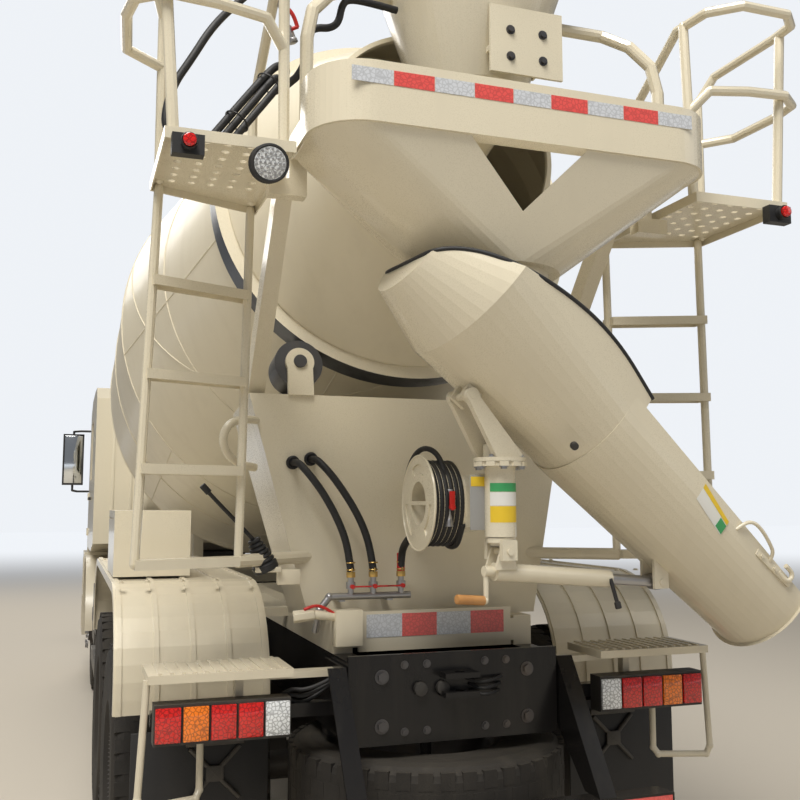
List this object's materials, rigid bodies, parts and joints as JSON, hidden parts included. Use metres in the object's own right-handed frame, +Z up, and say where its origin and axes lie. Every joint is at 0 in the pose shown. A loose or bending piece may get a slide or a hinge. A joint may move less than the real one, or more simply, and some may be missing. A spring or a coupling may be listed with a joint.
{
  "type": "concrete mixer truck",
  "caption": "Three-axle concrete mixer truck with a tilted drum, feed and discharge hoppers, side platforms, a swinging chute on a hand jack and a tilting cab.",
  "frame": {"origin": "on the ground under the middle of the vehicle's length and width", "axes": "+Y is the driving direction, +X the vehicle's right-hand side, +Z up"},
  "size_m": [2.98, 8.7228, 4.0135],
  "materials": {
    "cream_paint": "gloss",
    "black_paint": "satin",
    "lamp": "gloss",
    "lamp_clear": "gloss",
    "grey_metal": "matte",
    "bright_metal": "satin",
    "bare_steel": "satin",
    "rubber": "matte",
    "tyre": "matte",
    "black_plastic": "matte",
    "glass": "gloss"
  },
  "bodies": {
    "chassis": {"chassis_frame": "black_paint", "underrun_guard": "black_paint", "tail_lamps": "lamp", "rear_steps": "cream_paint", "leaf_springs": "black_paint", "front_axle": "black_paint", "rear_axles": "black_paint", "driveline": "grey_metal", "fuel_tank": "bright_metal", "side_gear": "black_paint", "mudguards": "cream_paint", "front_fenders": "cream_paint", "bumper": "cream_paint", "head_lamps": "lamp_clear", "subframe": "cream_paint", "rear_pedestal": "cream_paint", "drum_drive": "grey_metal", "water_tank": "cream_paint", "hopper_frame": "cream_paint", "discharge_hopper": "cream_paint", "feed_hopper": "cream_paint", "ladder_left": "cream_paint", "ladder_right": "cream_paint", "tool_box": "cream_paint", "hose_reel": "cream_paint", "water_hoses": "rubber", "water_manifold": "bright_metal", "marker_lamps": "black_plastic", "spare_wheel": "tyre", "post_bracket": "cream_paint"},
    "cab": {"cab_shell": "cream_paint", "cab_roof": "cream_paint", "cab_front": "cream_paint", "cab_glass": "glass", "cab_interior": "black_plastic", "mirrors": "black_plastic"},
    "drum": {"drum": "cream_paint", "roller_ring": "bare_steel"},
    "door_left": {"door_left": "cream_paint"},
    "door_right": {"door_right": "cream_paint"},
    "knuckle_left": {"knuckle_left": "black_paint"},
    "knuckle_right": {"knuckle_right": "black_paint"},
    "wheel_front_left": {"wheel_front_left": "tyre"},
    "wheel_front_right": {"wheel_front_right": "tyre"},
    "wheel_mid_left": {"wheel_mid_left": "tyre"},
    "wheel_mid_right": {"wheel_mid_right": "tyre"},
    "wheel_rear_left": {"wheel_rear_left": "tyre"},
    "wheel_rear_right": {"wheel_rear_right": "tyre"},
    "roller_left": {"roller_left": "bare_steel"},
    "roller_right": {"roller_right": "bare_steel"},
    "chute_post": {"chute_post": "cream_paint"},
    "chute": {"chute": "cream_paint"},
    "jack_tube": {"jack_tube": "cream_paint"},
    "jack_rod": {"jack_rod": "bright_metal"}
  },
  "joints": [
    {"name": "steer_left", "type": "hinge", "parent": "chassis", "child": "knuckle_left", "pos_m": [-0.85, 2.8575, 0.5625], "axis": [0, 0, 1], "range_deg": [-35, 35]},
    {"name": "steer_right", "type": "hinge", "parent": "chassis", "child": "knuckle_right", "pos_m": [0.85, 2.8575, 0.5625], "axis": [0, 0, 1], "range_deg": [-35, 35]},
    {"name": "wheel_front_left_spin", "type": "hinge", "parent": "knuckle_left", "child": "wheel_front_left", "pos_m": [-1.01, 2.8575, 0.5625], "axis": [1, 0, 0], "continuous": true},
    {"name": "wheel_front_right_spin", "type": "hinge", "parent": "knuckle_right", "child": "wheel_front_right", "pos_m": [1.01, 2.8575, 0.5625], "axis": [1, 0, 0], "continuous": true},
    {"name": "wheel_mid_left_spin", "type": "hinge", "parent": "chassis", "child": "wheel_mid_left", "pos_m": [-0.915, -1.1675, 0.5625], "axis": [1, 0, 0], "continuous": true},
    {"name": "wheel_mid_right_spin", "type": "hinge", "parent": "chassis", "child": "wheel_mid_right", "pos_m": [0.915, -1.1675, 0.5625], "axis": [1, 0, 0], "continuous": true},
    {"name": "wheel_rear_left_spin", "type": "hinge", "parent": "chassis", "child": "wheel_rear_left", "pos_m": [-0.915, -2.5175, 0.5625], "axis": [1, 0, 0], "continuous": true},
    {"name": "wheel_rear_right_spin", "type": "hinge", "parent": "chassis", "child": "wheel_rear_right", "pos_m": [0.915, -2.5175, 0.5625], "axis": [1, 0, 0], "continuous": true},
    {"name": "cab_tilt", "type": "hinge", "parent": "chassis", "child": "cab", "pos_m": [0, 4.2585, 0.87], "axis": [-1, 0, 0], "range_deg": [0, 45]},
    {"name": "door_left_hinge", "type": "hinge", "parent": "cab", "child": "door_left", "pos_m": [-1.21, 4.0205, 1.7], "axis": [0, 0, -1], "range_deg": [0, 65]},
    {"name": "door_right_hinge", "type": "hinge", "parent": "cab", "child": "door_right", "pos_m": [1.21, 4.0205, 1.7], "axis": [0, 0, 1], "range_deg": [0, 65]},
    {"name": "drum_spin", "type": "hinge", "parent": "chassis", "child": "drum", "pos_m": [0, -2.8775, 3.15], "axis": [0, 0.9781, -0.2079], "continuous": true},
    {"name": "roller_left_spin", "type": "hinge", "parent": "chassis", "child": "roller_left", "pos_m": [-0.515, -3.0497, 2.33986], "axis": [0, 0.9781, -0.2079], "continuous": true},
    {"name": "roller_right_spin", "type": "hinge", "parent": "chassis", "child": "roller_right", "pos_m": [0.515, -3.0497, 2.33986], "axis": [0, 0.9781, -0.2079], "continuous": true},
    {"name": "chute_swing", "type": "hinge", "parent": "chassis", "child": "chute_post", "pos_m": [0, -4.0345, 1.9], "axis": [0, 0, 1], "range_deg": [-180, 0]},
    {"name": "chute_lift", "type": "hinge", "parent": "chute_post", "child": "chute", "pos_m": [-0.14854, -4.05538, 2.125], "axis": [0.1392, -0.9903, 0], "range_deg": [-3, 12]},
    {"name": "jack_swivel", "type": "hinge", "parent": "chute_post", "child": "jack_tube", "pos_m": [0, -4.0345, 1.59], "axis": [0.1392, -0.9903, 0], "range_deg": [-3.77, 14.48]},
    {"name": "jack_slide", "type": "slide", "parent": "jack_tube", "child": "jack_rod", "axis": [0.987, 0.1387, -0.0814], "range_m": [-0.028, 0.1091]}
  ],
  "couplings": [
    {"joint": "steer_right", "follows": "steer_left", "ratio": 1},
    {"joint": "roller_left_spin", "follows": "drum_spin", "ratio": -8.2857},
    {"joint": "roller_right_spin", "follows": "drum_spin", "ratio": -8.2857},
    {"joint": "jack_swivel", "follows": "chute_lift", "ratio": 1.19},
    {"joint": "jack_slide", "follows": "chute_lift", "m_per_rad": 0.516}
  ]
}
